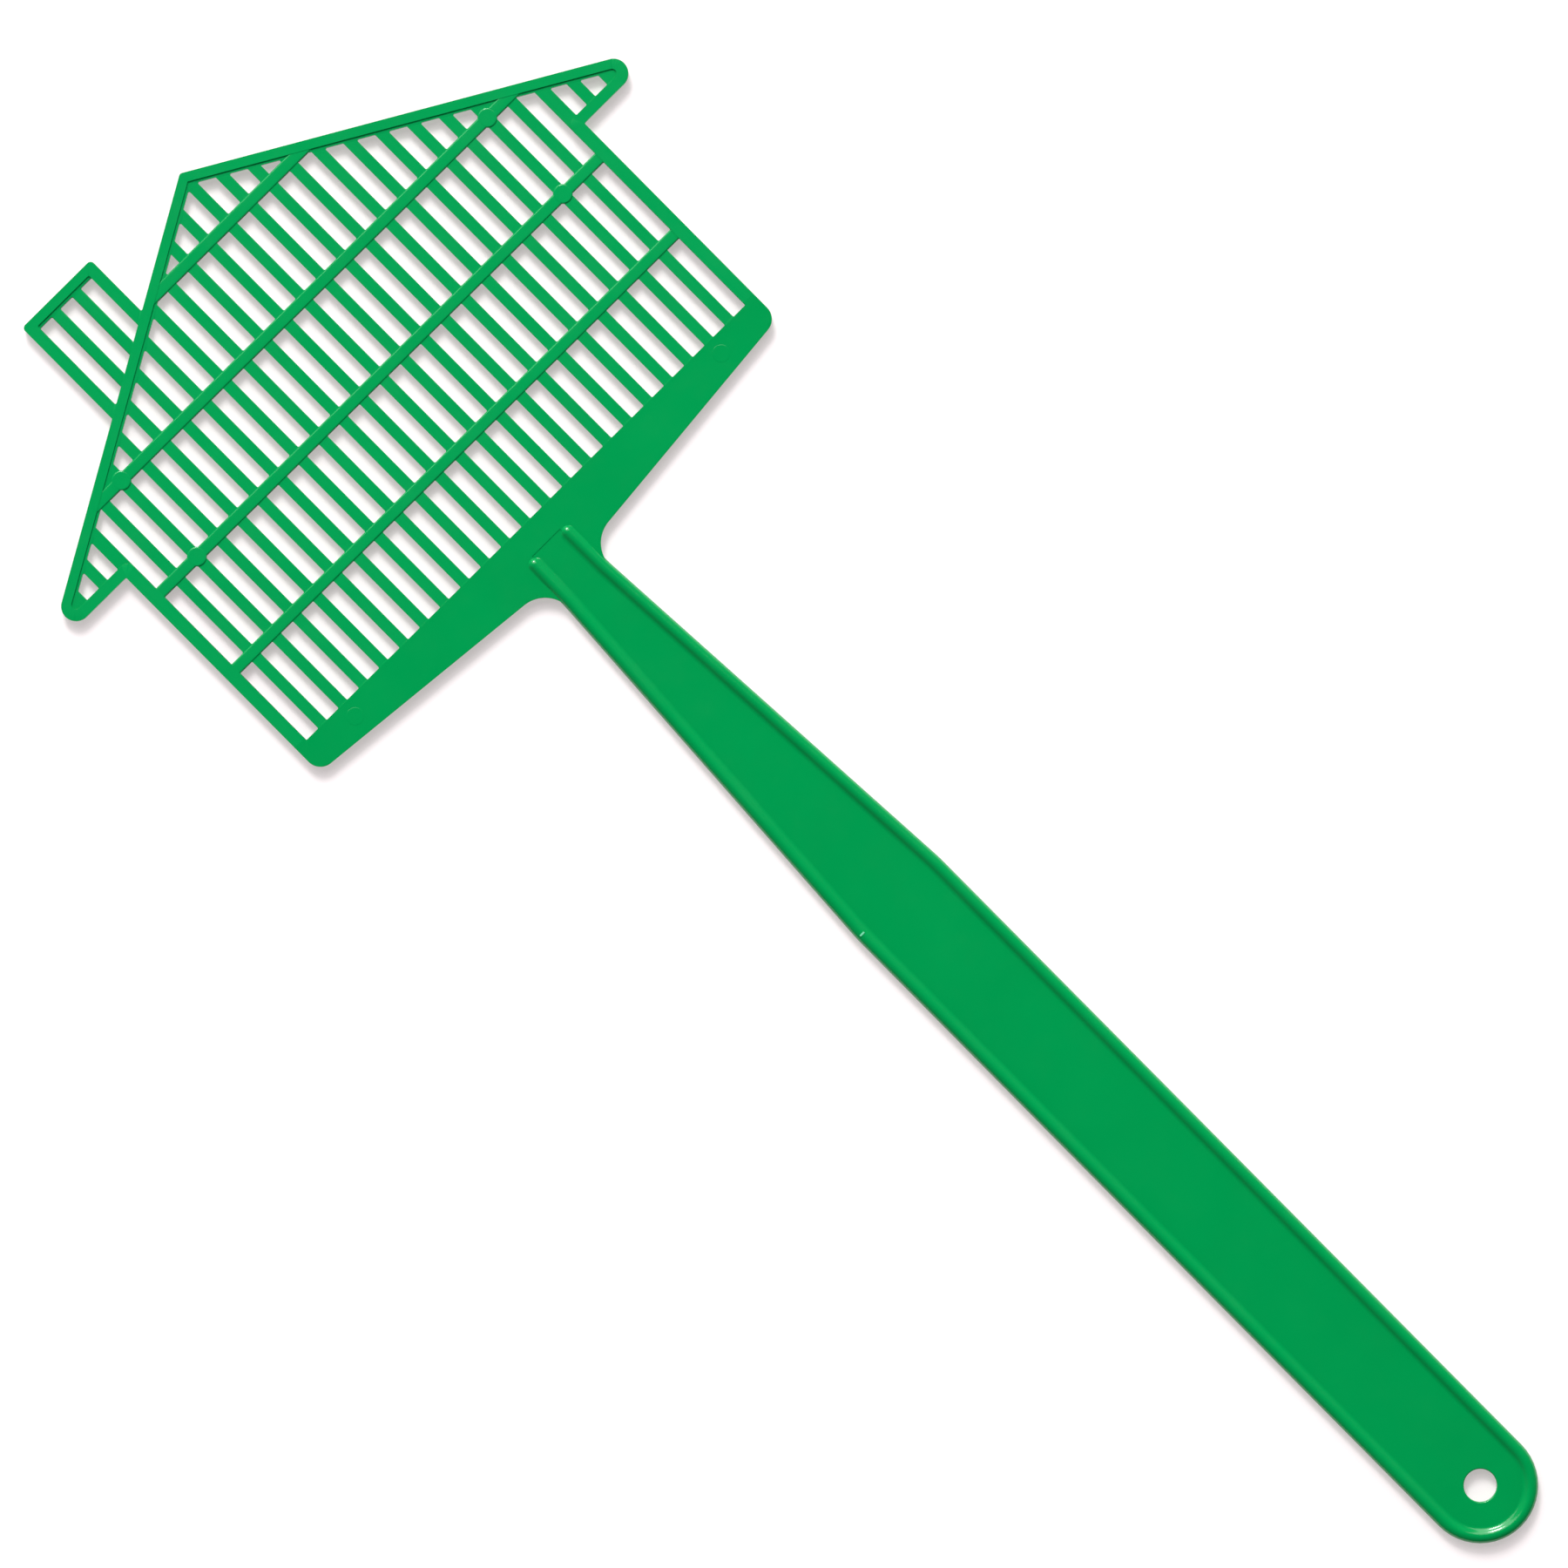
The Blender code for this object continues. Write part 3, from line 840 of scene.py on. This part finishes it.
class SWATTER_OT_rails(bpy.types.Operator):
    """Make the round rail of the handle, up one side, round the end and up the other, with domed tips"""

    bl_idname = "swatter.add_rails"
    bl_label = "Handle rails"

    def execute(self, context):
        sizes = in_millimetres(context.scene.swatter_sizes)
        right = rail_route(sizes)
        left = [Vector((-x, y)) for x, y in reversed(right)]
        route = self.divided(right[:-1]) + loop_route(GRIP_RAIL_X) + self.divided(left[1:])
        rings = []
        for index, point in enumerate(route):
            before, after = route[max(index - 1, 0)], route[min(index + 1, len(route) - 1)]
            rings.append(self.ring(sizes, point, (after - before).normalized()))
        first = self.dome(sizes, route[0], (route[1] - route[0]).normalized())
        last = self.dome(sizes, route[-1], (route[-1] - route[-2]).normalized(), -1)
        rail = swept([*first, *rings[1:-1], *reversed(last)])

        def name_of(centre):
            side = SIDES[math.copysign(1, centre.x)]
            if centre.y > NECK_CUT:
                return f"rail_end_{side}"
            if centre.y > KINK_CUT:
                return f"neck_rail_{side}"
            return f"grip_rail_{side}" if centre.y > LOOP_CUT else "end_loop"

        cuts = level_planes([NECK_CUT, KINK_CUT, LOOP_CUT])
        for name, member in split(rail, cuts, name_of).items():
            body = None if name.startswith(("rail_end", "neck_rail")) else "handle"
            material = member_material(context, "rail")
            add_piece(f"moulded_{name}", member, material, (name,), body, flat=False)
        return {"FINISHED"}

    @staticmethod
    def divided(route):
        """A route with points added so that no stretch is longer than the station pitch."""
        points = []
        for here, after in zip(route, route[1:]):
            steps = math.ceil((after - here).length / STATION_PITCH)
            points += [here.lerp(after, step / steps) for step in range(steps)]
        return points + [route[-1]]

    @staticmethod
    def section(sizes, collar_share):
        """A rail's section of (outward, up) about its centre line: a round with a fillet onto the web on its
        inner side and, by collar_share, another onto the collar on its outer side."""
        fillet = sizes.web_fillet
        web_half = (WEB_LEVELS[1] - WEB_LEVELS[0]) / 2
        rise = web_half + fillet
        lean = math.asin(rise / (RAIL_RADIUS + fillet))
        foot = math.cos(lean) * (RAIL_RADIUS + fillet)
        curve = []
        for step in range(FILLET_STEPS + 1):
            angle = (math.pi / 2 - lean) * step / FILLET_STEPS
            curve.append((foot - fillet * math.sin(angle), rise - fillet * math.cos(angle)))
        crown = []
        for step in range(1, CROWN_STEPS):
            angle = lean + (math.pi - 2 * lean) * step / CROWN_STEPS
            crown.append((math.cos(angle) * RAIL_RADIUS, math.sin(angle) * RAIL_RADIUS))
        plain = []
        for step in range(FILLET_STEPS + 1):
            angle = lean * step / FILLET_STEPS
            plain.append((math.cos(angle) * RAIL_RADIUS, math.sin(angle) * RAIL_RADIUS))
        outer = [
            (u * collar_share + a * (1 - collar_share), v * collar_share + b * (1 - collar_share))
            for (u, v), (a, b) in zip(curve, plain)
        ]
        inner = [(-u, v) for u, v in curve]
        upper = [*outer, *crown, *reversed(inner)]
        return upper + [(u, -v) for u, v in reversed(upper) if v > NO_HEIGHT]

    def ring(self, sizes, point, direction, scale=1.0):
        """A rail's section set square to its route at a point."""
        outward = Vector((-direction.y, direction.x))
        share = min(max((point.y - NECK_CUT) / FILLET_GROWTH, 0.0), 1.0)
        places = []
        for u, v in self.section(sizes, share * share * (3 - 2 * share)):
            flat = point + outward * u * scale
            places.append((flat.x, flat.y, RAIL_HEIGHT + v * scale))
        return places

    def dome(self, sizes, tip, direction, sense=1):
        """Rings of the round end of a rail, from its very tip to its full size."""
        rings = []
        for angle in DOME_ANGLES:
            point = tip + direction * sense * RAIL_RADIUS * (1 - math.sin(angle))
            rings.append(self.ring(sizes, point, direction, math.cos(angle)))
        return rings


class SWATTER_OT_mould_marks(bpy.types.Operator):
    """Make the round marks of the ejector pins on the head and the nub of the gate on the left rail"""

    bl_idname = "swatter.add_mould_marks"
    bl_label = "Mould marks"

    def execute(self, context):
        sizes = in_millimetres(context.scene.swatter_sizes)
        radius = sizes.ejector_diameter / 2
        bottom = RIM_LEVELS[0] + sizes.rib_drop + MARK_FOOT
        rows = {
            "upper": ((low("cross_rib_2").y + high("cross_rib_2").y) / 2, "rib", "head"),
            "middle": ((low("cross_rib_3").y + high("cross_rib_3").y) / 2, "rib", "head"),
            "lower": (COLLAR_TOP - LOWER_MARK_DROP, "web", None),
        }
        for row, (y, member, body) in rows.items():
            top = RIM_LEVELS[1] - (sizes.rib_drop if member == "rib" else 0)
            edge = [(radius - inward, top + up) for inward, up in MARK_EDGE]
            profile = [(0, bottom), (radius, bottom), *edge, (0, top + MARK_RISE)]
            for sign, side in SIDES.items():
                mark = turned(profile, (sign * MARK_COLUMN * SLAT_PITCH, y, 0))
                material = member_material(context, member)
                add_piece(f"ejector_mark_{row}_{side}", mark, material, body=body)
        crest = RAIL_HEIGHT + RAIL_RADIUS
        across, along = sizes.gate_length / 2, sizes.gate_width / 2
        corners = [(across, along), (across, -along), (-across, -along), (-across, along)]
        outline = [(x - GRIP_RAIL_X, y + KINK, along / 2) for x, y in corners]
        nub = plate(rounded(outline), [], (crest - NUB_ROOT, crest + NUB_RISE), NUB_RISE)
        # The nub's pale green paints in its highlight.
        add_piece("gate_nub", nub, member_material(context, "gate"), body="handle")
        return {"FINISHED"}


class SWATTER_OT_stage(bpy.types.Operator):
    """Make the table, the studio lights and the camera"""

    bl_idname = "swatter.add_stage"
    bl_label = "Stage"

    def execute(self, context):
        shape = bmesh.new()
        bmesh.ops.create_grid(shape, x_segments=1, y_segments=1, size=TABLE_REACH)
        mesh = bpy.data.meshes.new("table")
        shape.to_mesh(mesh)
        shape.free()
        finish = context.scene.swatter_finish
        mesh.materials.append(backlit_acrylic(finish.floor, finish.glow))
        table = bpy.data.objects.new("table", mesh)
        context.scene.collection.objects.link(table)

        self.add_softbox("key_core", azimuth=60, elevation=38, distance=4.4, size=1.2, power=160)
        self.add_softbox("key_spread", azimuth=60, elevation=42, distance=4.4, size=4.0, power=150)
        self.add_room(context)
        self.add_camera(context)
        context.scene.view_settings.view_transform = "Standard"
        return {"FINISHED"}

    @staticmethod
    def add_softbox(name, azimuth, elevation, distance, size, power):
        """A square softbox that faces the lit place. Its azimuth is counted from +X towards +Y."""
        around, up = math.radians(azimuth), math.radians(elevation)
        towards = Vector((math.cos(around) * math.cos(up), math.sin(around) * math.cos(up), math.sin(up)))
        light = bpy.data.lights.new(name, "AREA")
        light.size = size
        light.energy = power
        lamp = bpy.data.objects.new(name, light)
        lamp.location = LIT_PLACE + towards * distance
        lamp.rotation_euler = towards.to_track_quat("Z", "Y").to_euler()
        bpy.context.scene.collection.objects.link(lamp)

    @staticmethod
    def add_room(context):
        """A pale room under a dim ceiling, brighter on the side of the softboxes.

        The plastic does not mirror it, so that its green keeps its full colour."""
        world = bpy.data.worlds.new("pale_room")
        world.use_nodes = True
        tree = world.node_tree
        direction = add_node(tree, "ShaderNodeTexCoord").outputs["Generated"]
        parts = add_node(tree, "ShaderNodeSeparateXYZ", links={"Vector": direction})
        wall = add_node(
            tree,
            "ShaderNodeMapRange",
            inputs={"From Min": 0.3, "From Max": 0.85, "To Min": 1.1, "To Max": 0.05},
            links={"Value": parts.outputs["Z"]},
        )
        lit_side = (0.5, 0.87, 0.0)
        towards_key = add_node(
            tree,
            "ShaderNodeVectorMath",
            settings={"operation": "DOT_PRODUCT"},
            inputs={1: lit_side},
            links={0: direction},
        )
        side = add_node(
            tree,
            "ShaderNodeMapRange",
            inputs={"From Min": -1.0, "From Max": 1.0, "To Min": 0.4, "To Max": 1.3},
            links={"Value": towards_key.outputs["Value"]},
        )
        light = add_node(
            tree,
            "ShaderNodeMath",
            settings={"operation": "MULTIPLY"},
            links={0: wall.outputs["Result"], 1: side.outputs["Result"]},
        )
        tree.links.new(light.outputs["Value"], tree.nodes["Background"].inputs["Color"])
        context.scene.world = world
        world.cycles_visibility.glossy = False

    @staticmethod
    def add_camera(context):
        """A camera straight above with a long lens, turned so that the swatter lies corner to corner."""
        camera = bpy.data.cameras.new("camera")
        camera.lens = 200
        camera.sensor_width = 36
        distance = VIEW_WIDTH * camera.lens / camera.sensor_width
        camera.clip_start, camera.clip_end = 0.1, 20
        holder = bpy.data.objects.new("camera", camera)
        holder.location = VIEW_MIDDLE + Vector((0, 0, distance))
        holder.rotation_euler = (0, 0, VIEW_TURN)
        context.scene.collection.objects.link(holder)
        context.scene.camera = holder


class SWATTER_PT_panel(bpy.types.Panel):
    """Lists the pieces of the fly swatter with their sizes and colours"""

    bl_idname = "SWATTER_PT_panel"
    bl_label = "Fly swatter"
    bl_space_type = "VIEW_3D"
    bl_region_type = "UI"
    bl_category = "Swatter"

    def draw(self, context):
        for operator in OPERATORS:
            self.layout.operator(operator.bl_idname)
        for group in (context.scene.swatter_sizes, context.scene.swatter_finish):
            box = self.layout.box()
            for name in group.__annotations__:
                box.prop(group, name)


OPERATORS = (
    SWATTER_OT_slats,
    SWATTER_OT_cross_ribs,
    SWATTER_OT_rims,
    SWATTER_OT_web,
    SWATTER_OT_rails,
    SWATTER_OT_mould_marks,
    SWATTER_OT_stage,
)
CLASSES = (SwatterSizes, SwatterFinish, *OPERATORS, SWATTER_PT_panel)


def register():
    for item in CLASSES:
        bpy.utils.register_class(item)
    bpy.types.Scene.swatter_sizes = bpy.props.PointerProperty(type=SwatterSizes)
    bpy.types.Scene.swatter_finish = bpy.props.PointerProperty(type=SwatterFinish)


def unregister():
    del bpy.types.Scene.swatter_finish
    del bpy.types.Scene.swatter_sizes
    for item in reversed(CLASSES):
        bpy.utils.unregister_class(item)


def main():
    """Make every piece in order."""
    register()
    bpy.ops.swatter.add_slats()
    bpy.ops.swatter.add_cross_ribs()
    bpy.ops.swatter.add_rims()
    bpy.ops.swatter.add_web()
    bpy.ops.swatter.add_rails()
    bpy.ops.swatter.add_mould_marks()
    bpy.ops.swatter.add_stage()


if __name__ == "__main__":
    main()
